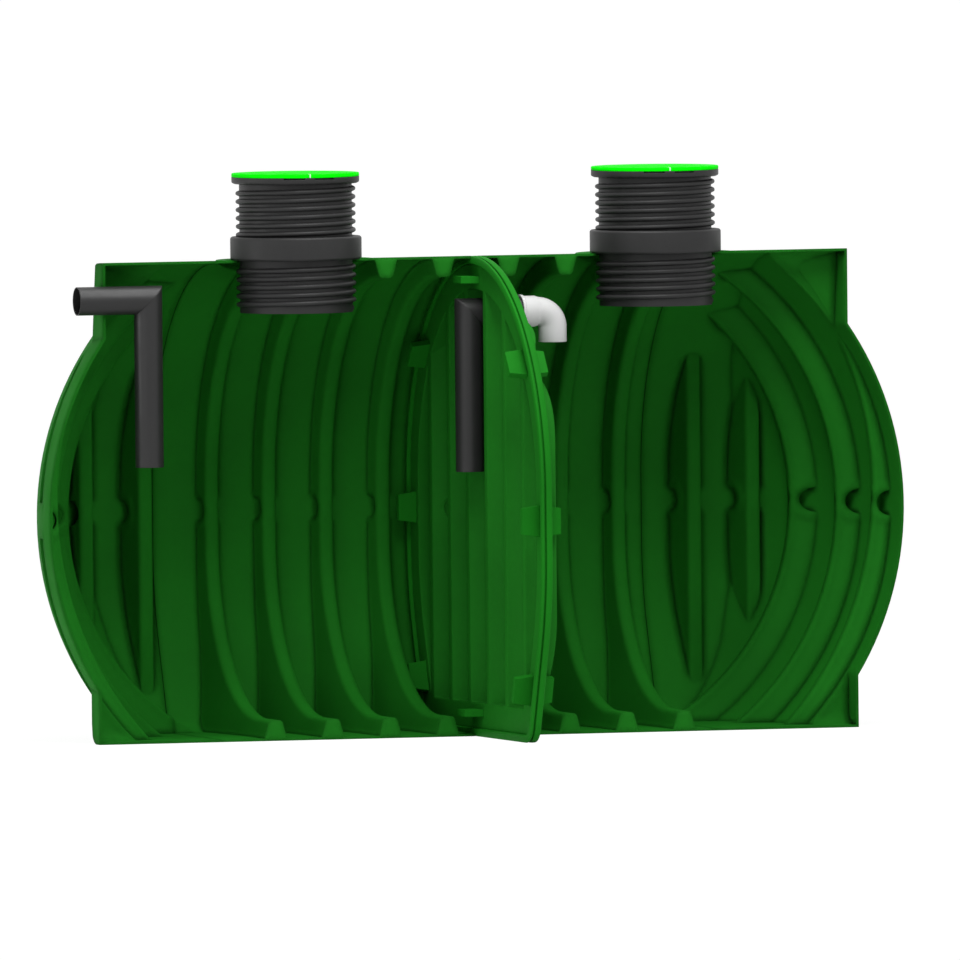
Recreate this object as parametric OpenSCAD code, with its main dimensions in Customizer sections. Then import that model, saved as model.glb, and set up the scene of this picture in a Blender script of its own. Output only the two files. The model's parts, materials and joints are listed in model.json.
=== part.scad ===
// Septic tank with two chambers, drawn as a cutaway: the front half of the shell is left off, so
// the ribs, the partition, the pipes and the two access shafts can be seen.
// X runs along the tank, +Y is the side that keeps its shell, Z is up. The origin is on the floor,
// in the middle of the tank, on the plane of the cut. All sizes are in millimetres.

/* [Shell] */
// Length over the two domed ends
body_l = 3460; // [3400:10:3540]
// Width of the barrel
body_w = 1790; // [1740:10:1840]
// Height of the barrel
body_h = 1860; // [1820:10:1920]
// Wall thickness of the shell
wall = 10; // [10:1:12]
// Height at which the sides start to curve inwards
side_z = 716; // [660:4:780]
// Radius of that inward curve
side_r = 1045; // [1000:5:1100]
// Lean of the lower sides in degrees
side_lean = 19.5; // [17:0.5:21]
// Radius of the bottom corners
corner_r = 85; // [70:5:100]
// Distance from the middle of the tank to the left end's joint
left_joint = 1050; // [1042:2:1060]
// Distance from the middle of the tank to the right end's joint
right_joint = 940; // [930:2:960]

/* [Ribs] */
// Number of ribs round each chamber
ribs_per_chamber = 4; // [3:1:4]
// Distance from the middle of the tank to the first rib
rib_first = 132; // [126:2:140]
// Distance between ribs
rib_pitch = 232; // [226:2:236]
// Depth of a rib, from the outside of the shell to its crest
rib_depth = 80; // [70:2:88]
// Width of a rib's crest
rib_crest = 50; // [44:2:56]
// Draft of a rib's flanks in degrees
rib_draft = 15.7; // [13:0.1:17]
// Rounding of a rib's crest
rib_round = 16; // [14:1:20]
// Radius of the crest round the bottom corners
rib_corner_r = 658; // [600:2:700]
// Thickness of the web that closes each rib's groove at the cut
web_t = 12; // [8:1:20]
// Height of the hollow ties that bridge the ribs' grooves
tie_z = 864; // [850:2:890]
// Radius of the hollow in a tie
tie_r = 49; // [42:1:52]

/* [Domed ends] */
// Radius of the domes
dome_r = 1231; // [1215:1:1245]
// Height of the domes' centres
dome_z = 863; // [850:1:875]
// Width of the spine along the top of each dome
spine_w = 302; // [290:2:310]
// Length over the two spines
spine_l = 3016; // [2980:4:3040]
// Rounding of the spine's upper edges
spine_round = 95; // [80:5:110]
// Width of the foot under each dome
foot_w = 216; // [200:2:230]
// Length over the two feet
foot_l = 3076; // [3040:4:3100]
// Rounding of the feet's lower edges
foot_round = 60; // [45:5:75]
// Distance from the side of the barrel to the outermost hoop of a dome
hoop_side = 250; // [240:1:260]
// Distance between the outer two hoops
hoop_pitch = 240; // [232:1:245]
// Distance from the cut to the middle hoop
mid_hoop_y = 165; // [160:1:170]
// Crest radius of the middle hoop, which fades out under the spine
mid_hoop_r = 1333; // [1325:1:1338]
// How far the middle hoop's centre lies behind the dome's centre
mid_hoop_back = 178; // [172:1:184]
// How far the middle hoop's centre lies above the dome's centre
mid_hoop_up = 64; // [56:1:70]
// Distance from the middle of the tank to the first upright bar of an end
bar_first = 1117; // [1112:1:1124]
// Distance between the two upright bars of an end
bar_pitch = 240; // [232:1:246]
// Depth of the upright bars, from the side of the barrel to their crests
bar_depth = 145; // [130:1:155]

/* [Partition] */
// Width of the rim along the tank
rim_w = 42; // [38:2:48]
// Height of the rim above the partition's panel
rim_h = 30; // [24:2:34]
// Width and depth of the groove round the rim
rim_groove = 5; // [3:1:7]
// Wall thickness of the partition's panel
panel_t = 12; // [9:1:14]
// Number of flutes in the panel
flute_count = 7; // [5:2:7]
// Distance between flutes
flute_pitch = 240; // [236:1:246]
// Width of a flute's mouth
flute_w = 205; // [196:1:208]
// Depth of a flute
flute_depth = 77; // [70:1:84]
// Plain margin between the shell's outline and the flutes
flute_margin = 128; // [124:1:136]
// Radius of the flutes' bottom corners, where they follow the shell
flute_corner_r = 190; // [170:5:210]
// Radius of the port through the partition
port_r = 50; // [40:1:55]
// Distance from the middle of the partition to the port
port_y = 520; // [510:2:530]
// Height of the port
port_z = 864; // [800:4:900]

/* [Lugs] */
// Distance from the shell's outline to a lug's outer face
lug_inset = 78; // [70:1:80]
// Thickness of a lug
lug_t = 27; // [22:1:30]
// Reach of a lug from the middle of the partition
lug_reach = 78; // [66:1:90]
// Width of a lug at the panel
lug_base = 122; // [110:2:130]
// Width of a lug at its tip
lug_tip = 100; // [86:2:106]
// Direction of the upper lugs, in degrees above level
lug_angle = 38; // [34:1:42]
// Height of the middle lugs
lug_mid_z = 860; // [800:5:900]
// Height of the lower lugs
lug_low_z = 201; // [190:1:220]

/* [Pipes] */
// Outside diameter of the pipes
pipe_d = 110; // [100:1:120]
// Wall thickness of the pipes
pipe_t = 3.2; // [2.5:0.1:5]
// Clearance round a pipe in its hole or socket
pipe_fit = 0.3; // [0.1:0.1:0.6]
// Distance from the top of the shell down to the middle of the inlet pipe
inlet_down = 146; // [140:1:160]
// Distance from the middle of the tank to the inlet's mouth
inlet_x = 1614; // [1580:2:1640]
// Distance from the middle of the tank to the inlet's drop pipe
inlet_drop_x = 1327; // [1300:1:1350]
// Length of the inlet's drop pipe below the middle of the inlet pipe
inlet_drop_l = 646; // [574:2:714]
// Distance from the top of the shell down to the middle of the transfer pipe
transfer_down = 219; // [210:1:230]
// Distance from the partition's middle to the transfer's drop pipe
transfer_drop_x = 32; // [26:1:40]
// Length of the transfer's drop pipe below the middle of the transfer pipe
transfer_drop_l = 616; // [540:2:680]

/* [Outlet elbow] */
// Wall thickness of the elbow
elbow_t = 5; // [4:0.5:6]
// Distance from the partition's middle to the mouth of the elbow's socket
socket_x = 174; // [166:1:180]
// Depth of the elbow's socket
socket_l = 66; // [60:1:76]
// Width of the bead round the socket's mouth
bead_w = 10; // [7:1:14]
// Height of that bead
bead_h = 5; // [3:0.5:6]
// Radius of the elbow's bend
bend_r = 62; // [60:1:68]
// Length of the spigot below the bend
spigot_l = 58; // [50:1:70]

/* [Access shafts] */
// Distance from the middle of the tank to each shaft
shaft_x = 728; // [716:2:736]
// Diameter of the risers over their threads
riser_d = 464; // [456:2:466]
// Diameter of the risers between the threads
riser_core_d = 436; // [428:2:440]
// Bore of the shaft
shaft_bore = 412; // [400:2:416]
// Pitch of the threads
thread_pitch = 32; // [30:1:34]
// Number of thread turns on the lower riser
lower_turns = 6; // [4:1:6]
// Number of thread turns on the upper riser
upper_turns = 6; // [4:1:8]
// Plain length at the top of each riser
riser_plain = 12; // [6:1:20]
// Clearance between the riser and the opening in the shell
opening_gap = 8; // [5:1:10]
// Diameter of the flat pad round the opening
pad_d = 620; // [600:4:624]
// Diameter of the collar
collar_d = 508; // [504:2:530]
// Height of the collar
collar_h = 90; // [80:2:100]
// Diameter of the lid and its seat
lid_d = 494; // [484:2:500]
// Height of the lid's seat
seat_h = 26; // [20:1:34]
// Thickness of the lid
lid_t = 16; // [12:1:20]
// Depth of the spigot under the lid
lid_spigot = 14; // [8:1:18]

/* [Hidden] */
$fn = 96;

green = [0.11, 0.45, 0.10];
rim_green = [0.13, 0.55, 0.13];
lid_green = [0, 1, 0];
black = [0.2, 0.2, 0.2];
white = [0.85, 0.85, 0.85];

over = 1;               // how far a cutting shape reaches past what it cuts
arc_steps = 8;          // straight pieces in each arc of an outline
round_steps = 3;        // straight pieces in the rounding of a rib's crest
half_l = body_l / 2;
arch_r = body_w / 2;
arch_z = body_h - arch_r;
dome_x = half_l - dome_r;
side_c = [arch_r - side_r, side_z];
lean_n = [cos(side_lean), -sin(side_lean)];
rib_reach = 260;        // how far a rib's shape runs outwards from its crest, past any wall
dome_steps = 200;       // a sphere's facets, small enough to meet its true size
rib_xs = [for (i = [0 : ribs_per_chamber - 1]) rib_first + i * rib_pitch];
hoop_ys = [arch_r - hoop_side - hoop_pitch, arch_r - hoop_side];
bar_xs = [bar_first, bar_first + bar_pitch];
bar_y = arch_r - bar_depth;
rib_foot = rib_crest / 2 + rib_depth * tan(rib_draft);             // half a rib's width at the wall
bar_foot = rib_crest / 2 + bar_depth * tan(rib_draft);             // the same for an upright bar
pipe_r = pipe_d / 2;
inlet_z = body_h - inlet_down;
transfer_z = body_h - transfer_down;
riser_r = riser_d / 2;
opening_r = riser_r + opening_gap;
flute_r = (pow(flute_w / 2, 2) + pow(flute_depth, 2)) / (2 * flute_depth);
flute_x = flute_depth - flute_r - panel_t / 2;
thread_flank = thread_pitch / 4;
thread_flat = thread_pitch / 5;
lower_riser_h = lower_turns * thread_pitch + riser_plain;
upper_riser_h = upper_turns * thread_pitch + riser_plain;
upper_riser_z = body_h + collar_h;
seat_z = upper_riser_z + upper_riser_h;

// ---- Outlines: the first number is across the tank, the second is the height ----

function arc(centre, r, from, to, steps) =
  [for (i = [0 : steps]) let (a = from + (to - from) * i / steps) centre + r * [cos(a), sin(a)]];

// Where the straight lower side lies, as a distance along its own normal
function lean_line(inset) = side_c * lean_n + side_r - inset;

function corner_centre(corner) =
  [(lean_line(corner) + corner * sin(side_lean)) / cos(side_lean), corner];

// Half of the tank's cross-section, brought in by inset; back reaches over the cut
module half_section(inset = 0, corner = corner_r, back = 0) {
  polygon(concat(
    [[-back, arch_z], [-back, inset]],
    arc(corner_centre(corner), corner - inset, -90, -side_lean, arc_steps),
    arc(side_c, side_r - inset, -side_lean, 0, arc_steps),
    [[arch_r - inset, arch_z]]
  ));
  intersection() {
    translate([0, arch_z]) circle(arch_r - inset);
    translate([-back, arch_z]) square([arch_r + back, arch_r]);
  }
}

module full_section(inset = 0, corner = corner_r) {
  half_section(inset, corner);
  mirror([1, 0]) half_section(inset, corner);
}

// Stretches an outline along the tank
module along_x(from, to) {
  translate([from, 0, 0]) rotate([90, 0, 90]) linear_extrude(to - from) children();
}

// ---- Ribs, hoops and bars: one shape across them all ----

// Half of the shape across a rib with its crest at 0, on the side that side points to
function rib_half(gap, side) =
  let (
    slope = tan(rib_draft),
    foot = rib_crest / 2 - gap / cos(rib_draft),
    bend = rib_round - gap,
    tangent = bend * tan((90 - rib_draft) / 2)
  )
  concat(
    [for (p = arc([rib_round, foot + gap * slope - tangent], bend, 180, 90 + rib_draft,
      round_steps)) [p.x, p.y * side]],
    [[rib_reach, (foot + rib_reach * slope) * side]]
  );

// The shape across a rib whose crest is at r. A gap of one wall gives the groove outside it.
module rib_shape(r, gap) {
  low = rib_half(gap, -1);
  translate([r, 0])
    polygon(concat(rib_half(gap, 1), [for (i = [len(low) - 1 : -1 : 0]) low[i]]));
}

// A rib round the barrel: arch, side, bottom corner and floor
module rib(x, gap = 0) {
  corner = [arch_r - rib_depth - rib_corner_r, rib_depth + rib_corner_r];
  translate([x, 0, 0]) rotate([90, 0, 90]) {
    translate([0, arch_z, 0]) rotate_extrude(angle = 90)
      rib_shape(arch_r - rib_depth, gap);
    translate([0, corner.y, 0]) rotate([-90, 0, 0]) linear_extrude(arch_z - corner.y)
      rib_shape(arch_r - rib_depth, gap);
    translate(corner) rotate([0, 0, -90]) rotate_extrude(angle = 90)
      rib_shape(rib_corner_r, gap);
    mirror([0, 1, 0]) rotate([90, 0, 90]) linear_extrude(corner.x)
      rib_shape(-rib_depth, gap);
  }
}

function hoop_crest(y) = sqrt(pow(dome_r, 2) - pow(y, 2)) - rib_depth;

// Where a hoop's crest runs into the floor
function hoop_end(y) = dome_x + sqrt(pow(hoop_crest(y), 2) - pow(dome_z, 2));

// A hoop over a dome, in a plane across the tank's width
module hoop(y, r, centre_x, centre_z, gap = 0) {
  translate([centre_x, y, centre_z]) rotate([-90, 0, 0]) rotate_extrude() rib_shape(r, gap);
}

// An upright bar on the side of an end
module bar(x, gap = 0) {
  translate([x, 0, 0]) rotate([0, 0, 90]) linear_extrude(body_h) rib_shape(bar_y, gap);
}

// Every rib, hoop and bar that reaches into the stretch between from and to
module stiffeners(from, to, gap = 0) {
  for (x = rib_xs) if (x - rib_foot < to && x + rib_foot > from) rib(x, gap);
  for (x = bar_xs) if (x - bar_foot < to && x + bar_foot > from) bar(x, gap);
  for (y = hoop_ys) if (hoop_end(y) < to) hoop(y, hoop_crest(y), dome_x, dome_z, gap);
  if (to > half_l - over)
    hoop(mid_hoop_y, mid_hoop_r, dome_x - mid_hoop_back, dome_z + mid_hoop_up, gap);
}

// The hollow tie half-way up, along the side and round the dome. A gap gives the skin round it.
module tie(gap = 0) {
  translate([0, arch_r - wall, tie_z]) rotate([0, 90, 0])
    cylinder(h = half_l, r = tie_r + gap);
  translate([dome_x, 0, tie_z]) rotate_extrude(angle = 90)
    translate([dome_r - wall, 0]) circle(tie_r + gap);
}

// ---- Shell ----

// A box on the shell's side of the cut, between two stations
module block(from, to, y, low, high) {
  translate([from, 0, low]) cube([to - from, y, high - low]);
}

// Half of the section of the spine or the foot, with its outer edge rounded
module fin_section(w, h, r, back) {
  polygon(concat([[-back, h], [-back, 0], [w, 0]], arc([w - r, h - r], r, 0, 90, arc_steps)));
}

// The solid form of one half of the tank, brought in by inset
module form(from, to, inset = 0, back = 0) {
  intersection() {
    along_x(from, to) half_section(inset, back = back);
    union() {
      translate([from, -back, 0]) cube([max(dome_x, over) + over - from, arch_r + back, body_h]);
      translate([dome_x, 0, dome_z]) sphere(dome_r - inset, $fn = dome_steps);
      along_x(from, spine_l / 2 - inset) translate([0, dome_z])
        fin_section(spine_w / 2 - inset, body_h - inset - dome_z, spine_round - inset, back);
      along_x(from, foot_l / 2 - inset) translate([0, dome_z]) mirror([0, 1])
        fin_section(foot_w / 2 - inset, dome_z - inset, foot_round - inset, back);
    }
  }
}

// The raised round pad that the shaft stands on
module pad(inset = 0, back = 0) {
  intersection() {
    translate([shaft_x, 0, arch_z]) cylinder(h = arch_r - inset, d = pad_d - 2 * inset);
    translate([0, -back, 0]) cube([half_l, arch_r, body_h]);
  }
}

// The shell between two stations to the right of the middle
module shell(from, to) {
  difference() {
    union() {
      form(from, to);
      intersection() {
        pad();
        block(from, to, arch_r, 0, body_h);
      }
    }
    difference() {
      form(from - over, to + over, wall, over);
      difference() {
        stiffeners(from, to);
        tie();
      }
    }
    difference() {
      stiffeners(from, to, wall);
      block(from - over, to + over, web_t, -over, body_h + over);
      pad();
      tie(2 * wall);
    }
    pad(wall, over);
    translate([shaft_x, 0, arch_z]) cylinder(h = arch_r + over, r = opening_r);
  }
}

module left_end() {
  color(green) difference() {
    mirror([1, 0, 0]) shell(left_joint, half_l);
    translate([-half_l, 0, inlet_z]) rotate([0, 90, 0])
      cylinder(h = half_l - inlet_drop_x, r = pipe_r + pipe_fit);
  }
}

module left_barrel() {
  color(green) mirror([1, 0, 0]) shell(rim_w / 2, left_joint);
}

module right_barrel() {
  color(green) shell(rim_w / 2, right_joint);
}

module right_end() {
  color(green) shell(right_joint, half_l);
}

// ---- Partition ----

module flutes(gap) {
  for (i = [0 : flute_count - 1])
    translate([flute_x, (i - (flute_count - 1) / 2) * flute_pitch, 0])
      cylinder(h = body_h, r = flute_r + gap);
}

module partition_panel() {
  color(green) difference() {
    union() {
      along_x(-panel_t / 2, panel_t / 2) full_section(rim_h);
      intersection() {
        along_x(-panel_t / 2, flute_depth + panel_t)
          full_section(flute_margin - panel_t, flute_corner_r);
        flutes(panel_t);
      }
    }
    intersection() {
      along_x(-flute_depth, flute_depth) full_section(flute_margin, flute_corner_r);
      flutes(0);
    }
    translate([0, 0, transfer_z]) rotate([0, 90, 0])
      cylinder(h = flute_depth + panel_t, r = pipe_r + pipe_fit);
    translate([-panel_t, port_y, port_z]) rotate([0, 90, 0])
      cylinder(h = flute_depth + 2 * panel_t, r = port_r);
  }
}

module partition_rim() {
  color(rim_green) difference() {
    along_x(-rim_w / 2, rim_w / 2) full_section();
    along_x(-rim_w / 2 - over, rim_w / 2 + over) full_section(rim_h);
    difference() {
      along_x(-rim_groove / 2, rim_groove / 2) full_section(-over);
      along_x(-rim_groove, rim_groove) full_section(rim_groove);
    }
  }
}

// A lug at a point of the cross-section, facing outwards at an angle above level
module lug(point, angle) {
  translate([0, point.x, point.y]) rotate([angle, 0, 0]) rotate([90, 0, 0]) linear_extrude(lug_t)
    polygon([
      [panel_t / 2, -lug_base / 2], [lug_reach, -lug_tip / 2],
      [lug_reach, lug_tip / 2], [panel_t / 2, lug_base / 2]
    ]);
}

module lugs() {
  r = arch_r - lug_inset;
  low_y = (lean_line(lug_inset) + lug_low_z * sin(side_lean)) / cos(side_lean);
  lug([0, arch_z + r], 90);
  lug([0, lug_inset], -90);
  for (side = [0, 1]) mirror([0, side, 0]) {
    lug([r * cos(lug_angle), arch_z + r * sin(lug_angle)], lug_angle);
    lug([r, lug_mid_z], 0);
    lug([low_y, lug_low_z], -side_lean);
  }
}

module left_lugs() {
  color(rim_green) mirror([1, 0, 0]) lugs();
}

module right_lugs() {
  color(rim_green) lugs();
}

// ---- Pipes ----

module tube(length, r, bore) {
  difference() {
    cylinder(h = length, r = r);
    translate([0, 0, -over]) cylinder(h = length + 2 * over, r = bore);
  }
}

// A pipe that points up, mitred at 45 degrees at its top, with its longer side towards +X
module mitred_pipe(length) {
  difference() {
    tube(length + pipe_r, pipe_r, pipe_r - pipe_t);
    translate([0, 0, length]) rotate([0, -45, 0])
      translate([-pipe_d, -pipe_d, 0]) cube(2 * pipe_d);
  }
}

// Lays a pipe down so that it points along +X, with its longer side on top
module level() {
  rotate([0, 90, 0]) mirror([1, 0, 0]) children();
}

module inlet_pipe() {
  color(black) translate([-inlet_x, 0, inlet_z]) level() mitred_pipe(inlet_x - inlet_drop_x);
}

module inlet_drop_pipe() {
  color(black) translate([-inlet_drop_x, 0, inlet_z - inlet_drop_l]) mitred_pipe(inlet_drop_l);
}

module transfer_pipe() {
  color(black) translate([socket_x + socket_l, 0, transfer_z]) mirror([1, 0, 0]) level()
    mitred_pipe(socket_x + socket_l + transfer_drop_x);
}

module transfer_drop_pipe() {
  color(black) translate([-transfer_drop_x, 0, transfer_z - transfer_drop_l]) mirror([1, 0, 0])
    mitred_pipe(transfer_drop_l);
}

// ---- Outlet elbow ----

module elbow_socket() {
  socket_r = pipe_r + pipe_fit + elbow_t;
  color(white) translate([socket_x, 0, transfer_z]) rotate([0, 90, 0]) {
    tube(socket_l, socket_r, pipe_r + pipe_fit);
    translate([0, 0, socket_l]) tube(elbow_t, socket_r, pipe_r - elbow_t);
  }
}

module elbow_bend() {
  color(white) translate([socket_x + socket_l + elbow_t, 0, transfer_z - bend_r])
    rotate([90, 0, 0]) rotate_extrude(angle = 90) translate([bend_r, 0]) difference() {
      circle(pipe_r);
      circle(pipe_r - elbow_t);
    }
}

module elbow_spigot() {
  color(white)
    translate([socket_x + socket_l + elbow_t + bend_r, 0, transfer_z - bend_r - spigot_l])
      tube(spigot_l, pipe_r, pipe_r - elbow_t);
}

module elbow_bead() {
  socket_r = pipe_r + pipe_fit + elbow_t;
  color(white) translate([socket_x, 0, transfer_z]) rotate([0, 90, 0])
    tube(bead_w, socket_r + bead_h, socket_r);
}

// ---- Access shafts ----

// The turns of thread round a riser, each as a ring
module threads(turns) {
  core = riser_core_d / 2;
  for (i = [0 : turns - 1]) translate([0, 0, i * thread_pitch]) rotate_extrude() polygon([
    [core, 0],
    [riser_r, thread_flank],
    [riser_r, thread_flank + thread_flat],
    [core, 2 * thread_flank + thread_flat]
  ]);
}

module lower_riser() {
  color(black) translate([shaft_x, 0, body_h - lower_riser_h])
    tube(lower_riser_h, riser_core_d / 2, shaft_bore / 2);
}

module lower_threads() {
  color(black) translate([shaft_x, 0, body_h - lower_riser_h]) threads(lower_turns);
}

module collar() {
  color(black) translate([shaft_x, 0, body_h]) tube(collar_h, collar_d / 2, shaft_bore / 2);
}

module upper_riser() {
  color(black) translate([shaft_x, 0, upper_riser_z])
    tube(upper_riser_h, riser_core_d / 2, shaft_bore / 2);
}

module upper_threads() {
  color(black) translate([shaft_x, 0, upper_riser_z]) threads(upper_turns);
}

module lid_seat() {
  color(black) translate([shaft_x, 0, seat_z]) tube(seat_h, lid_d / 2, shaft_bore / 2);
}

module lid() {
  color(lid_green) translate([shaft_x, 0, seat_z + seat_h]) {
    cylinder(h = lid_t, d = lid_d);
    translate([0, 0, -lid_spigot]) cylinder(h = lid_spigot, d = shaft_bore - 2 * pipe_fit);
  }
}

module on_left() {
  mirror([1, 0, 0]) children();
}

left_end();
left_barrel();
right_barrel();
right_end();
partition_panel();
partition_rim();
left_lugs();
right_lugs();
inlet_pipe();
inlet_drop_pipe();
transfer_pipe();
transfer_drop_pipe();
elbow_socket();
elbow_bend();
elbow_spigot();
elbow_bead();
on_left() lower_riser();  // left_lower_riser
on_left() lower_threads();  // left_lower_threads
on_left() collar();  // left_collar
on_left() upper_riser();  // left_upper_riser
on_left() upper_threads();  // left_upper_threads
on_left() lid_seat();  // left_lid_seat
on_left() lid();  // left_lid
lower_riser();  // right_lower_riser
lower_threads();  // right_lower_threads
collar();  // right_collar
upper_riser();  // right_upper_riser
upper_threads();  // right_upper_threads
lid_seat();  // right_lid_seat
lid();  // right_lid
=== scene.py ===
"""Septic tank with two chambers, shown cut open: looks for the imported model.

All sizes are in metres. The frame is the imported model's: X along the tank, +Y towards the side
that keeps its shell, Z up, with the origin on the floor in the plane of the cut.
"""
import json
import math

import bmesh
import bpy
from mathutils import Matrix, Vector


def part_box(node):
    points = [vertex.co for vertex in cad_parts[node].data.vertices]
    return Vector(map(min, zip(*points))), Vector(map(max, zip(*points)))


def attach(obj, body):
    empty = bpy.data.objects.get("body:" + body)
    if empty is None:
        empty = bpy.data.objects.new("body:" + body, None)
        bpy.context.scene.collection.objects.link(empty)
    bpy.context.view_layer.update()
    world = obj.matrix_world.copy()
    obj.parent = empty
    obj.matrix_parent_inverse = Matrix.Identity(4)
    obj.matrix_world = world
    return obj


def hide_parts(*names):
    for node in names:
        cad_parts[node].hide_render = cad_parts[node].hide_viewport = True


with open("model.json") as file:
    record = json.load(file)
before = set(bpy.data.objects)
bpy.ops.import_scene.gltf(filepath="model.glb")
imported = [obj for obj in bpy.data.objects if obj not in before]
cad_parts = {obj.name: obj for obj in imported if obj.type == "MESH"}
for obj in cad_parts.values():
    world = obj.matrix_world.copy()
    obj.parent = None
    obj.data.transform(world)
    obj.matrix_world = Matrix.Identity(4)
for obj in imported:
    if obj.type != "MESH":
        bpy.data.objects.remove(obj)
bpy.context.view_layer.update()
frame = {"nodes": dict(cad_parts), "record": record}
NODES = frame["nodes"]

# ---- Camera: a long lens, because the view has next to no perspective ----

VIEW_WIDTH = 3.715              # what the frame's width takes in at the tank
LENS = 1500.0                   # lens and sensor are in millimetres
SENSOR = 36.0
AZIMUTH = math.radians(17.3)    # the camera stands this far round to the left
ELEVATION = math.radians(2.2)
ROLL = math.radians(0.56)
LOOK_ACROSS = -0.0025           # from the origin to the middle of the frame, across the view
LOOK_UP = 0.991                 # and up it

# ---- Light ----

FLOOR_HALF = 160.0              # half the floor's side
FLOOR_DROP = 0.0005             # it lies this far under the tank, so that no faces coincide
FLOOR_WHITE = 0.9
FLOOR_ROUGHNESS = 0.9
FLOOR_GLOW = 1.17               # how bright the floor looks to the camera by itself
FLOOR_SHARE = 0.8               # and how much of its look that makes
AMBIENT = 0.40                  # strength of the world's light on the tank
LAMP_TARGET = Vector((0.0, 0.4, 0.9))
LAMPS = {                       # each lamp's place, size and power in watts
    "key": ((-0.5, -4.2, 6.2), 3.0, 266.0),
    "top": ((0.0, -0.6, 6.0), 3.0, 165.0),
    "right": ((4.5, -4.5, 4.0), 3.0, 23.0),
    "left": ((-7.0, 0.6, 1.4), 1.5, 60.0),
    "left_front": ((-6.0, -3.5, 2.5), 4.0, 40.0),
}

# ---- Colours, as linear values ----

GREEN = (0.0115, 0.158, 0.011)
RIM_GREEN = (0.009, 0.165, 0.009)
LID_GREEN = (0.0, 0.92, 0.0)
BLACK = (0.017, 0.017, 0.0172)
WHITE = (0.56, 0.56, 0.56)      # the elbow
TICK_GREY = (0.62, 0.62, 0.62)
SEAM_SHADE = 0.12               # a seam's colour, as a share of the shell's
SPECK_SHADE = 0.55              # the darkest that the mottle makes a colour

# ---- The plastic's surface: scales are per metre, heights in metres ----

PATCH_SCALE = 2.3               # broad patches of tone
MOTTLE_SCALE = 38.0             # fine mottle
GLOSS_SCALE = 9.0               # patches of gloss
GLOSS_CHANGE = 0.06             # how far they move the roughness each way
WAVE_SCALE = 6.0                # slow waves from the mould
WAVE_HEIGHT = 0.004
WAVE_STRENGTH = 0.2
SKIN_SCALE = 420.0              # pebbled skin
SKIN_HEIGHT = 0.0006
SKIN_STRENGTH = 0.10
EDGE_SAMPLES = 6                # samples that soften an edge

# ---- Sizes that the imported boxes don't give ----

WALL = 0.010                    # the shell's wall
SIDE_R = 1.045                  # curve of the sides above the lean
SIDE_Z = 0.716                  # height at which they start to lean
SIDE_LEAN = math.radians(19.5)
CORNER_R = 0.085                # bottom corners
SHAFT_BORE = 0.206              # inner radius of a shaft
PAD_R = 0.310                   # flat pad round a shaft
PIPE_FIT = 0.0003               # play between a pipe and what it sits in
SOCKET_T = 0.005                # wall of the elbow
AXIS_GAP = 0.0005               # how close to its axis or its middle a shape starts

SEGMENTS = 144                  # round a revolved piece
ROUND_STEPS = 4                 # steps round a rounded corner
CORNER_SHARE = 1 / 2.01         # the most of a side that each of its corners may round off
SMOOTH_ANGLE = math.radians(40)    # a bend below this looks smooth


# ---- Materials ----

class Graph:
    """Short calls for building a material's nodes."""

    def __init__(self, name):
        self.material = bpy.data.materials.new(name)
        self.material.use_nodes = True
        self.tree = self.material.node_tree
        self.shader = self.tree.nodes["Principled BSDF"]
        self.output = self.tree.nodes["Material Output"]
        self.position = self.node("TexCoord").outputs["Object"]

    def link(self, source, target):
        self.tree.links.new(source, target)

    def node(self, kind, **values):
        made = self.tree.nodes.new("ShaderNode" + kind)
        for name, value in values.items():
            setattr(made, name, value)
        return made

    def noise(self, scale, detail, roughness=0.5):
        made = self.node("TexNoise")
        made.inputs["Scale"].default_value = scale
        made.inputs["Detail"].default_value = detail
        made.inputs["Roughness"].default_value = roughness
        self.link(self.position, made.inputs["Vector"])
        return made.outputs["Fac"]

    def spread(self, value, low, high, start=0.3, end=0.7):
        """Maps values from start to end onto low to high. Most noise lies from 0.3 to 0.7."""
        made = self.node("MapRange")
        made.inputs["From Min"].default_value = start
        made.inputs["From Max"].default_value = end
        made.inputs["To Min"].default_value = low
        made.inputs["To Max"].default_value = high
        self.link(value, made.inputs["Value"])
        return made.outputs["Result"]

    def mix(self, factor, first, second):
        """Mixes two colours, each a tuple or a socket. A colour Mix node has them at 6 and 7."""
        made = self.node("Mix", data_type="RGBA")
        self.link(factor, made.inputs[0])
        for socket, colour in ((6, first), (7, second)):
            if isinstance(colour, bpy.types.NodeSocket):
                self.link(colour, made.inputs[socket])
            else:
                made.inputs[socket].default_value = (*colour, 1.0)
        return made.outputs[2]

    def bump(self, height, strength, distance, below):
        """Bumps of that height over the normal below them."""
        made = self.node("Bump")
        made.inputs["Strength"].default_value = strength
        made.inputs["Distance"].default_value = distance
        self.link(height, made.inputs["Height"])
        self.link(below, made.inputs["Normal"])
        return made.outputs["Normal"]

    def soft_edges(self, radius):
        made = self.node("Bevel", samples=EDGE_SAMPLES)
        made.inputs["Radius"].default_value = radius
        return made.outputs["Normal"]


def shade(colour, factor):
    return tuple(channel * factor for channel in colour)


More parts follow.
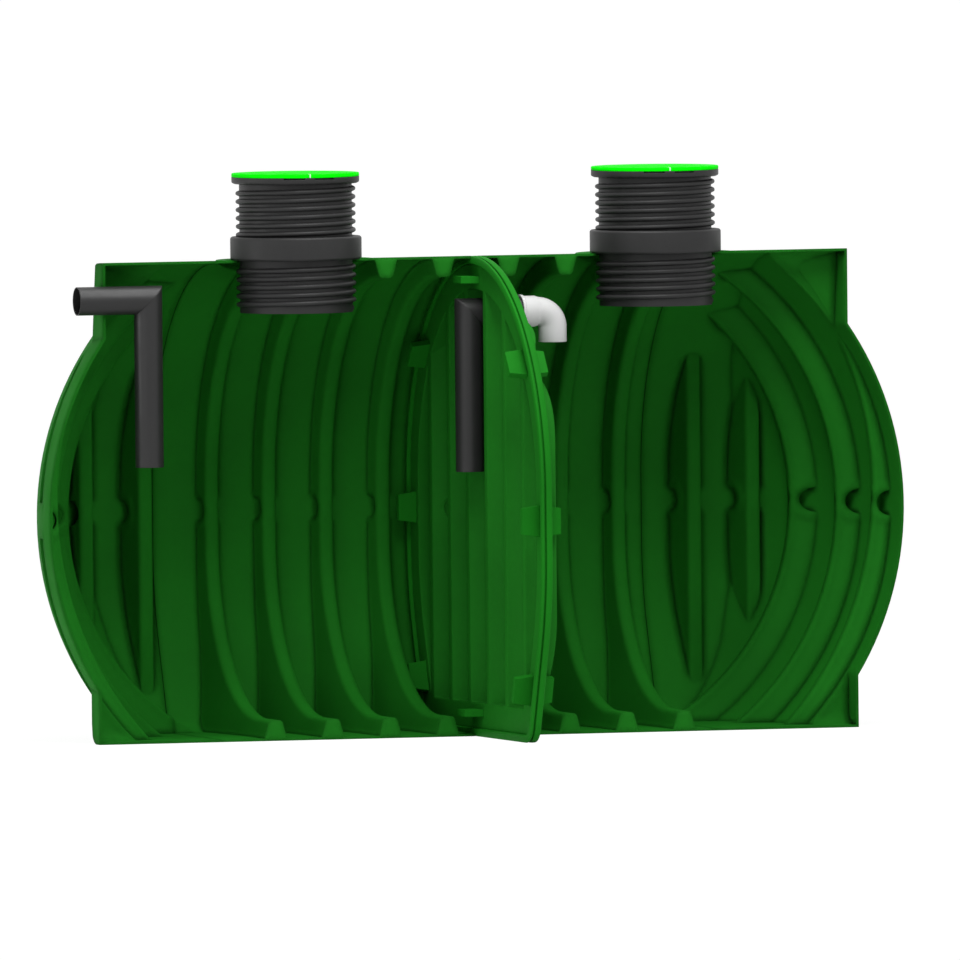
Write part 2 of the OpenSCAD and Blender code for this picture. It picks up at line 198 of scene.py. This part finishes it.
def moulded(name, colour, roughness=0.5, patch=0.10, grain=0.10, specular=0.25, edge=0.006):
    """Moulded plastic: soft patches of tone, a fine pebbled skin, slow waves and soft edges.

    patch and grain say how strongly the patches and the mottle show, and edge is the radius
    that the edges seem to have.
    """
    g = Graph(name)
    patches = g.spread(g.noise(PATCH_SCALE, 3.0), 0.0, 1.0)
    tone = g.mix(patches, shade(colour, 1.0 - patch), shade(colour, 1.0 + patch))
    mottle = g.spread(g.noise(MOTTLE_SCALE, 4.0, 0.6), 0.0, 1.0)
    specks = g.spread(mottle, 0.0, grain, 0.0, 1.0)
    g.link(g.mix(specks, tone, shade(colour, SPECK_SHADE)), g.shader.inputs["Base Color"])
    gloss = g.spread(g.noise(GLOSS_SCALE, 4.0), roughness - GLOSS_CHANGE, roughness + GLOSS_CHANGE)
    g.link(gloss, g.shader.inputs["Roughness"])
    waves = g.bump(g.noise(WAVE_SCALE, 1.0), WAVE_STRENGTH, WAVE_HEIGHT, g.soft_edges(edge))
    skin = g.bump(g.noise(SKIN_SCALE, 2.0), SKIN_STRENGTH, SKIN_HEIGHT, waves)
    g.link(skin, g.shader.inputs["Normal"])
    g.shader.inputs["Specular IOR Level"].default_value = specular
    return g.material


SHELL = moulded("shell_green", GREEN, roughness=0.7, specular=0.04, edge=0.035)
ENDS = moulded("end_green", GREEN, roughness=0.7, specular=0.04, edge=0.050)
PANEL = moulded("panel_green", GREEN, roughness=0.65, specular=0.04, edge=0.010)
RIM = moulded("rim_green", RIM_GREEN, roughness=0.65, specular=0.04, edge=0.004)
LID = moulded("lid_green", LID_GREEN, roughness=0.6, patch=0.03, grain=0.03, specular=0.04)
PIPE = moulded("pipe_black", BLACK, roughness=0.42, patch=0.08, grain=0.15, specular=0.3,
               edge=0.004)
SHAFT = moulded("shaft_black", BLACK, grain=0.2, edge=0.003)
FITTING = moulded("fitting_white", WHITE, roughness=0.35, patch=0.03, grain=0.04, edge=0.003)
TICK = moulded("tick_grey", TICK_GREY, patch=0.02, grain=0.02, edge=0.001)
SEAM = moulded("seam_green", shade(GREEN, SEAM_SHADE), specular=0.0, edge=0.0005)

SLOT_LOOKS = {"green_shell": SHELL, "green_rim": RIM, "green_lid": LID,
              "black_plastic": SHAFT, "white_plastic": FITTING}
# Nodes that look different from the rest of their slot
NODE_LOOKS = {"left_end": ENDS, "right_end": ENDS, "partition_panel": PANEL,
              "inlet_pipe": PIPE, "inlet_drop_pipe": PIPE,
              "transfer_pipe": PIPE, "transfer_drop_pipe": PIPE}


def dress_nodes():
    """Gives every carried-over CAD node its material."""
    for part in frame["record"]["subparts"]:
        look = NODE_LOOKS.get(part["node"], SLOT_LOOKS[part["material_slot"]])
        for slot in NODES[part["node"]].material_slots:
            slot.material = look


# ---- Making pieces ----

def add_object(name, data):
    """Adds a mesh, lamp or camera to the scene."""
    made = bpy.data.objects.new(name, data)
    bpy.context.scene.collection.objects.link(made)
    return made


def add_piece(name, bm, material, slot, *stands_for):
    """Adds a finished mesh as a piece of the tank, smooth except at its corners."""
    bmesh.ops.recalc_face_normals(bm, faces=bm.faces[:])
    mesh = bpy.data.meshes.new(name)
    bm.to_mesh(mesh)
    bm.free()
    mesh.shade_smooth()
    mesh.set_sharp_from_angle(angle=SMOOTH_ANGLE)
    mesh.materials.append(material)
    piece = add_object(name, mesh)
    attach(piece, "root")
    if stands_for:
        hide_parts(*stands_for)


def loft(rings, closed=False):
    """Joins rings of points, each a closed loop, into one mesh.

    A closed loft joins its last ring to its first. Any other is capped at both ends.
    """
    bm = bmesh.new()
    loops = [[bm.verts.new(point) for point in ring] for ring in rings]
    for first, second in zip(loops, loops[1:] + (loops[:1] if closed else [])):
        for i in range(len(first)):
            j = (i + 1) % len(first)
            bm.faces.new((first[i], first[j], second[j], second[i]))
    if not closed:
        bm.faces.new(loops[0])
        bm.faces.new(reversed(loops[-1]))
    return bm


def rounded(outline, radius):
    """A closed outline with every corner rounded, each by no more than its sides allow."""
    points = [Vector(point) for point in outline]
    result = []
    for before, corner, after in zip(points[-1:] + points[:-1], points, points[1:] + points[:1]):
        back, ahead = before - corner, after - corner
        reach = min(radius, back.length * CORNER_SHARE, ahead.length * CORNER_SHARE)
        start, end = corner + back.normalized() * reach, corner + ahead.normalized() * reach
        for i in range(ROUND_STEPS + 1):
            t = i / ROUND_STEPS
            result.append(start * (1 - t) ** 2 + corner * 2 * t * (1 - t) + end * t ** 2)
    return result


def revolve(profile_at, axis_x, segments=SEGMENTS):
    """A ring turned about an upright axis. profile_at gives its (radius, height) points."""
    rings = []
    for i in range(segments):
        angle = math.tau * i / segments
        rings.append([(axis_x + radius * math.cos(angle), radius * math.sin(angle), z)
                      for radius, z in profile_at(angle)])
    return loft(rings, closed=True)


def upright(node):
    """An upright round node's axis, radius, lowest point and highest point."""
    low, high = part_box(node)
    return (low[0] + high[0]) / 2, (high[0] - low[0]) / 2, low[2], high[2]


def arc(centre, radius, start, end, steps):
    """Points round a circle from one angle to another, with both ends."""
    return [(centre[0] + radius * math.cos(start + (end - start) * i / steps),
             centre[1] + radius * math.sin(start + (end - start) * i / steps))
            for i in range(steps + 1)]


# ---- Shafts ----

COLLAR_BEVEL = 0.006            # bevel of the collar's outer edges
COLLAR_LIP = 0.014              # width of the slope inside its top
COLLAR_DROP = 0.004             # how far that slope falls
COLLAR_ROUND = 0.003


def make_collar(side):
    """The smooth band between the two risers, with its outer edges bevelled."""
    x, radius, low, high = upright(side + "_collar")
    inner = radius - COLLAR_BEVEL
    profile = rounded([(SHAFT_BORE, low), (inner, low), (radius, low + COLLAR_BEVEL),
                       (radius, high - COLLAR_BEVEL), (inner, high),
                       (SHAFT_BORE + COLLAR_LIP, high), (SHAFT_BORE, high - COLLAR_DROP)],
                      COLLAR_ROUND)
    add_piece(side + "_collar_band", revolve(lambda angle: profile, x), SHAFT,
              "black_plastic", side + "_collar")


SLOT_MIDDLE = math.radians(-93.5)   # the seat's two slots lie either side of this direction
SLOT_APART = math.radians(14.5)     # from there to the middle of each
SLOT_HALF = math.radians(9.5)       # half of a slot's width
SLOT_DEEP = 0.012
SLOT_HIGH = 0.007
SEAT_FOOT = 0.010                   # the seat's underside ends this far in from its side
SEAT_ROUND = 0.008                  # height of the curve between them


def seat_profile(angle, radius, low, high):
    """The lid seat's section at an angle: a ring with a slot in its upper edge, or without."""
    off = (angle - SLOT_MIDDLE + math.pi) % math.tau - math.pi
    in_slot = abs(abs(off) - SLOT_APART) < SLOT_HALF
    edge = radius - (SLOT_DEEP if in_slot else 0.0)
    return [(SHAFT_BORE, low), (radius - SEAT_FOOT, low),
            (radius - SEAT_ROUND / 4, low + SEAT_ROUND / 2), (radius, low + SEAT_ROUND),
            (radius, high - SLOT_HIGH), (edge, high - SLOT_HIGH), (edge, high),
            (SHAFT_BORE, high)]


def make_lid_seat(side):
    """The ring under the lid, with two slots in its upper edge."""
    x, radius, low, high = upright(side + "_lid_seat")
    ring = revolve(lambda angle: seat_profile(angle, radius, low, high), x, 3 * SEGMENTS)
    add_piece(side + "_seat_ring", ring, SHAFT, "black_plastic", side + "_lid_seat")


LID_CROWN = 0.001               # the lid's middle is this much higher than its edge
LID_ROUND = 0.004


def make_lid(side):
    """The lid: a slightly crowned disc with a rounded edge, and a spigot below."""
    x, radius, low, high = upright(side + "_lid")
    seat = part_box(side + "_lid_seat")[1][2]
    spigot = SHAFT_BORE - PIPE_FIT
    profile = rounded([(AXIS_GAP, low), (spigot, low), (spigot, seat), (radius, seat),
                       (radius, high - LID_CROWN), (AXIS_GAP, high)], LID_ROUND)
    add_piece(side + "_lid_disc", revolve(lambda angle: profile, x), LID,
              "green_lid", side + "_lid")


TICK_START = 0.030              # how far in from the lid's edge the nib starts
TICK_LENGTH = 0.0315
TICK_HALF = 0.0022              # half its width
TICK_FOOT = 0.001               # its height above the seat
TICK_BELOW = 0.0004             # how far under the lid's top it stays
TICK_ROUND = 0.0012


def make_tick(side):
    """The small pale nib in the front edge of the lid."""
    x, radius, _, high = upright(side + "_lid")
    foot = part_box(side + "_lid_seat")[1][2] + TICK_FOOT
    top = high - TICK_BELOW
    out = Vector((math.cos(SLOT_MIDDLE), math.sin(SLOT_MIDDLE), 0))
    across = Vector((-out.y, out.x, 0))
    section = rounded([(-TICK_HALF, foot), (TICK_HALF, foot), (TICK_HALF, top),
                       (-TICK_HALF, top)], TICK_ROUND)
    rings = []
    for reach in (radius - TICK_START, radius - TICK_START + TICK_LENGTH):
        middle = Vector((x, 0, 0)) + out * reach
        rings.append([middle + across * y + Vector((0, 0, z)) for y, z in section])
    add_piece(side + "_lid_tick", loft(rings), TICK, "white_plastic")


THREAD_PITCH = 0.032
THREAD_WIDTH = 0.72             # width of the thread's ridge, as a share of the pitch
THREAD_ROOT = 0.004             # how deep it is sunk into the riser
THREAD_EDGE = 0.0005            # and how deep its edges are
THREAD_FLATNESS = 2.8           # a higher power gives a flatter crest with steeper sides
THREAD_STEPS = 60               # steps of the helix in one turn
THREAD_SECTION = 10             # steps over its rounded ridge
FADE_STEPS = 10                 # steps in which it rises from the riser at either end
# Each thread's height on the riser's left, above the foot of its node, and the angles round
# the riser between which it runs, in degrees, with 180 on the left
THREADS = {"lower": (0.033, -40, 1830), "upper": (0.0085, 100, 2230)}


def thread_section(core, ridge):
    """The ridge's outline as (radius, height) points: sunk into the core, round outside."""
    half = THREAD_WIDTH / 2 * THREAD_PITCH
    section = [(core - THREAD_ROOT, half), (core - THREAD_ROOT, -half)]
    for i in range(THREAD_SECTION + 1):
        t = 2 * i / THREAD_SECTION - 1
        rise = (ridge + THREAD_EDGE) * (1 - abs(t) ** THREAD_FLATNESS)
        section.append((core - THREAD_EDGE + rise, t * half))
    return section


def make_thread(side, level):
    """The right-hand thread of a shaft's lower or upper riser, fading out at both ends."""
    node = side + "_" + level + "_threads"
    x, crest, low, _ = upright(node)
    core = upright(side + "_" + level + "_riser")[1]
    height, start, end = THREADS[level]
    steps = round((end - start) / 360 * THREAD_STEPS)
    rings = []
    for i in range(steps + 1):
        degrees = start + (end - start) * i / steps
        angle = math.radians(degrees)
        middle = low + height + THREAD_PITCH * (degrees - 180) / 360
        fade = min(1.0, i / FADE_STEPS, (steps - i) / FADE_STEPS)
        ridge = (crest - core) * fade * fade * (3 - 2 * fade)
        rings.append([(x + radius * math.cos(angle), radius * math.sin(angle), middle + z)
                      for radius, z in thread_section(core, ridge)])
    add_piece(side + "_" + level + "_helix", loft(rings), SHAFT, "black_plastic", node)


def make_shaft(side):
    """The pieces of one access shaft."""
    make_collar(side)
    make_lid_seat(side)
    make_lid(side)
    make_tick(side)
    make_thread(side, "lower")
    make_thread(side, "upper")


# ---- The cross-section's outline, the rim and the seams ----

ARCH_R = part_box("partition_rim")[1][1]
ARCH_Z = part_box("partition_rim")[1][2] - ARCH_R


def half_outline(inset):
    """Half the tank's cross-section from its top to its floor, as (across, height) points."""
    side = (ARCH_R - SIDE_R, SIDE_Z)
    line = side[0] * math.cos(SIDE_LEAN) - side[1] * math.sin(SIDE_LEAN) + SIDE_R - CORNER_R
    corner = ((line + CORNER_R * math.sin(SIDE_LEAN)) / math.cos(SIDE_LEAN), CORNER_R)
    return (arc((0, ARCH_Z), ARCH_R - inset, math.pi / 2, 0, steps=48)
            + arc(side, SIDE_R - inset, 0, -SIDE_LEAN, steps=16)
            + arc(corner, CORNER_R - inset, -SIDE_LEAN, -math.pi / 2, steps=10)
            + [(0, inset)])


# The rim's section, measured from its left face: a narrow ridge, a groove and a crowned band
RIM_REACH = 0.030               # how far in from the outline the rim goes
CROWN_FALL = 0.0006             # how far a crowned face falls beside its highest line
RIDGE_ROUND = 0.003
RIDGE_TOP = 0.004               # the ridge's highest line
RIDGE_END = 0.0085
GROOVE_START = 0.010
GROOVE_END = 0.0155
GROOVE_DEEP = 0.012
BAND_START = 0.017
BAND_ROUND = 0.003              # width of the curve beside the groove
BAND_LIP = 0.0022               # and how far it falls
BAND_TOP = 0.027                # the band's highest line
BAND_CORNER = 0.006             # size of its outer corner


def rim_section(left, right):
    """The rim's section between two stations, as (along the tank, depth) points."""
    return [(left, RIM_REACH), (left, RIDGE_ROUND), (left + RIDGE_TOP / 2, CROWN_FALL),
            (left + RIDGE_TOP, 0.0), (left + RIDGE_END, 2 * CROWN_FALL),
            (left + GROOVE_START, GROOVE_DEEP), (left + GROOVE_END, GROOVE_DEEP),
            (left + BAND_START, BAND_LIP), (left + BAND_START + BAND_ROUND, CROWN_FALL),
            (left + BAND_TOP, 0.0), (right - BAND_CORNER * 5 / 6, CROWN_FALL),
            (right - BAND_CORNER / 3, BAND_CORNER / 3), (right, BAND_CORNER),
            (right, RIM_REACH)]


def make_rim():
    """The partition's rim: a narrow ridge, a groove and a broad crowned band."""
    low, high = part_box("partition_rim")
    rings = []
    for x, inset in rim_section(low[0], high[0]):
        half = half_outline(inset)
        loop = half + [(-y, z) for y, z in reversed(half[1:-1])]
        rings.append([(x, y, z) for y, z in loop])
    add_piece("partition_ridges", loft(rings, closed=True), RIM, "green_rim", "partition_rim")


SEAM_HALF = 0.0014              # half a seam's width
SEAM_PROUD = 0.0004             # how far it stands out of the wall


def make_seam(name, station, line_at):
    """The dark line where two lengths of the shell are welded, on their inside.

    line_at gives its (across, height) points from roof to floor, lifted off the wall.
    """
    left, right = station - SEAM_HALF, station + SEAM_HALF
    rings = []
    for foot, top in zip(line_at(0.0), line_at(SEAM_PROUD)):
        rings.append([(left, *foot), (left, *top), (right, *top), (right, *foot)])
    add_piece(name, loft(rings), SEAM, "green_shell")


def left_seam(lift):
    """The inside of the wall at the left joint."""
    return [(y, z) for y, z in half_outline(WALL + lift) if y > AXIS_GAP]


def right_seam(lift):
    """The same at the right joint, where the flat pad round the shaft cuts into the roof."""
    shaft_x = upright("right_collar")[0]
    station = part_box("right_barrel")[1][0]
    chord = math.sqrt((PAD_R - WALL) ** 2 - (station - shaft_x) ** 2)
    roof = ARCH_Z + ARCH_R - WALL - lift
    wall = [(y, z) for y, z in half_outline(WALL + lift) if y > chord]
    return [(AXIS_GAP, roof), (chord - lift, roof)] + wall


# ---- Outlet elbow ----

# Places along the elbow, as distances from the mouth of its socket
LIP_ROUND = 0.001               # end of the lip's rounded edge
LIP_TOP = 0.0035
GROOVE_SPAN = (0.0052, 0.0066)  # the fine groove between the lip and the bead
BEAD_SPAN = (0.0085, 0.0115)
BEAD_FOOT = 0.0135
SOCKET_START = 0.018            # where the plain socket starts
# Places as distances from the start of the bend
SOCKET_END = -0.012             # where the socket starts to narrow
SHOULDER_TOP = -0.003
SHOULDER_FOOT = 0.004
PIPE_STOP = -0.005              # where the pipe stops inside it
STOP_WIDTH = 0.0005             # width of the step there
# How far the profile lies below the bead's highest line, or its neighbour's radius
EDGE_FALL = 0.002               # the rounded edges of the lip and of the spigot
GROOVE_FALL = 0.0018
BEAD_FALLS = (0.0004, 0.001)    # the bead's two edges
SHOULDER_FALL = 0.003
# How far a foot still stands out of the plain surface beside it
BEAD_FOOT_RISE = 0.0006
SHOULDER_FOOT_RISE = 0.0002
SPIGOT_ROUND = 0.003            # length of the curve at the spigot's end
BEND_STEPS = 24
ELBOW_SEGMENTS = 64


class Elbow:
    """The white elbow: a beaded socket, a bend down and a short plain spigot."""

    def __init__(self):
        spigot_x, self.pipe_r, low, bend_low = upright("elbow_spigot")
        bead_low, bead_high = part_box("elbow_bead")
        self.mouth = bead_low[0]
        self.axis_z = (bead_low[2] + bead_high[2]) / 2
        self.bead_r = (bead_high[1] - bead_low[1]) / 2
        self.socket_r = self.pipe_r + PIPE_FIT + SOCKET_T
        self.bend_r = self.axis_z - bend_low
        self.straight = spigot_x - self.bend_r - self.mouth
        self.bend_end = self.straight + self.bend_r * math.pi / 2
        self.length = self.bend_end + bend_low - low

    def bend(self, radius, first_step):
        """Stations round the bend at one radius, from a step of it to its end."""
        turn = (self.bend_end - self.straight) / BEND_STEPS
        return [(self.straight + turn * i, radius) for i in range(first_step, BEND_STEPS + 1)]

    def outside(self):
        """The outer profile, as distances along the axis with a radius at each."""
        bead, socket, pipe = self.bead_r, self.socket_r, self.pipe_r
        lip = [(0.0, bead - EDGE_FALL), (LIP_ROUND, bead - EDGE_FALL / 4), (LIP_TOP, bead)]
        groove = [(along, bead - GROOVE_FALL) for along in GROOVE_SPAN]
        ridge = [(along, bead - fall) for along, fall in zip(BEAD_SPAN, BEAD_FALLS)]
        plain = [(BEAD_FOOT, socket + BEAD_FOOT_RISE), (SOCKET_START, socket),
                 (self.straight + SOCKET_END, socket)]
        shoulder = [(self.straight + SHOULDER_TOP, socket - SHOULDER_FALL),
                    (self.straight + SHOULDER_FOOT, pipe + SHOULDER_FOOT_RISE)]
        spigot = [(self.length - SPIGOT_ROUND, pipe), (self.length, pipe - EDGE_FALL)]
        return lip + groove + ridge + plain + shoulder + self.bend(pipe, 2) + spigot

    def inside(self):
        """The bore's profile, back from the spigot's end to the socket's mouth."""
        bore = self.pipe_r - SOCKET_T
        socket = self.pipe_r + PIPE_FIT
        stop = self.straight + PIPE_STOP
        return ([(self.length, bore)] + self.bend(bore, 1)[::-1]
                + [(stop, bore), (stop - STOP_WIDTH, socket), (LIP_ROUND, socket)])

    def place(self, along):
        """The axis's point and its sideways direction, that far along it."""
        if along <= self.straight:
            return Vector((self.mouth + along, 0, self.axis_z)), Vector((0, 0, 1))
        angle = min((along - self.straight) / self.bend_r, math.pi / 2)
        centre = Vector((self.mouth + self.straight, 0, self.axis_z - self.bend_r))
        side = Vector((math.sin(angle), 0, math.cos(angle)))
        point = centre + side * self.bend_r
        point.z -= max(along - self.bend_end, 0.0)
        return point, side

    def ring(self, along, radius):
        point, side = self.place(along)
        front = Vector((0, 1, 0))
        angles = [math.tau * i / ELBOW_SEGMENTS for i in range(ELBOW_SEGMENTS)]
        return [point + (side * math.cos(angle) + front * math.sin(angle)) * radius
                for angle in angles]


def make_elbow():
    elbow = Elbow()
    rings = [elbow.ring(along, radius) for along, radius in elbow.outside() + elbow.inside()]
    add_piece("elbow_moulding", loft(rings, closed=True), FITTING, "white_plastic",
              "elbow_socket", "elbow_bend", "elbow_spigot", "elbow_bead")


# ---- Floor, light and camera ----

def backdrop_rays(tree):
    """1 for the rays that show the backdrop: to the camera, off a gloss or through glass."""
    path = tree.nodes.new("ShaderNodeLightPath")
    shows = path.outputs["Is Camera Ray"]
    for kind in ("Is Glossy Ray", "Is Transmission Ray"):
        either = tree.nodes.new("ShaderNodeMath")
        either.operation = "MAXIMUM"
        tree.links.new(shows, either.inputs[0])
        tree.links.new(path.outputs[kind], either.inputs[1])
        shows = either.outputs[0]
    return shows


def floor_material():
    """White to look at, but still taking a faint shadow."""
    g = Graph("floor_white")
    g.shader.inputs["Base Color"].default_value = (FLOOR_WHITE, FLOOR_WHITE, FLOOR_WHITE, 1.0)
    g.shader.inputs["Roughness"].default_value = FLOOR_ROUGHNESS
    g.shader.inputs["Specular IOR Level"].default_value = 0.0
    glow = g.node("Emission")
    glow.inputs["Strength"].default_value = FLOOR_GLOW
    share = g.node("Math", operation="MULTIPLY")
    share.inputs[1].default_value = FLOOR_SHARE
    g.link(backdrop_rays(g.tree), share.inputs[0])
    seen = g.node("MixShader")
    g.link(share.outputs[0], seen.inputs[0])
    g.link(g.shader.outputs[0], seen.inputs[1])
    g.link(glow.outputs[0], seen.inputs[2])
    g.link(seen.outputs[0], g.output.inputs["Surface"])
    return g.material


def make_floor():
    mesh = bpy.data.meshes.new("floor")
    half = FLOOR_HALF
    corners = [(-half, -half, 0), (half, -half, 0), (half, half, 0), (-half, half, 0)]
    mesh.from_pydata(corners, [], [(0, 1, 2, 3)])
    mesh.materials.append(floor_material())
    floor = add_object("floor", mesh)
    floor.location.z = -FLOOR_DROP


def make_world():
    """White where the backdrop shows, and a softer light on the tank."""
    world = bpy.data.worlds.new("studio")
    bpy.context.scene.world = world
    world.use_nodes = True
    tree = world.node_tree
    tree.nodes.clear()
    output = tree.nodes.new("ShaderNodeOutputWorld")
    mix = tree.nodes.new("ShaderNodeMixShader")
    tree.links.new(backdrop_rays(tree), mix.inputs[0])
    for socket, strength in ((1, AMBIENT), (2, 1.0)):
        light = tree.nodes.new("ShaderNodeBackground")
        light.inputs["Color"].default_value = (1, 1, 1, 1)
        light.inputs["Strength"].default_value = strength
        tree.links.new(light.outputs[0], mix.inputs[socket])
    tree.links.new(mix.outputs[0], output.inputs["Surface"])


def make_lamp(name, place, size, power):
    data = bpy.data.lights.new(name, "AREA")
    data.size = size
    data.energy = power
    lamp = add_object(name, data)
    lamp.location = place
    lamp.rotation_euler = (LAMP_TARGET - Vector(place)).to_track_quat("-Z", "Y").to_euler()


def make_camera():
    across = Vector((math.cos(AZIMUTH), -math.sin(AZIMUTH), 0.0))
    ahead = Vector((math.sin(AZIMUTH) * math.cos(ELEVATION),
                    math.cos(AZIMUTH) * math.cos(ELEVATION), -math.sin(ELEVATION)))
    up = across.cross(ahead)
    right = across * math.cos(ROLL) - up * math.sin(ROLL)
    top = across * math.sin(ROLL) + up * math.cos(ROLL)
    distance = VIEW_WIDTH * LENS / SENSOR
    data = bpy.data.cameras.new("camera")
    data.lens = LENS
    data.sensor_width = SENSOR
    data.clip_end = 3 * distance
    camera = add_object("camera", data)
    middle = right * LOOK_ACROSS + top * LOOK_UP
    turn = Matrix((right, top, -ahead)).transposed().to_4x4()
    camera.matrix_world = Matrix.Translation(middle - ahead * distance) @ turn
    bpy.context.scene.camera = camera


dress_nodes()
make_shaft("left")
make_shaft("right")
make_rim()
make_seam("left_seam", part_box("left_barrel")[0][0], left_seam)
make_seam("right_seam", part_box("right_barrel")[1][0], right_seam)
make_elbow()
make_floor()
make_world()
for lamp_name, (spot, spread, watts) in LAMPS.items():
    make_lamp(lamp_name, spot, spread, watts)
make_camera()
bpy.context.scene.view_settings.view_transform = "Standard"
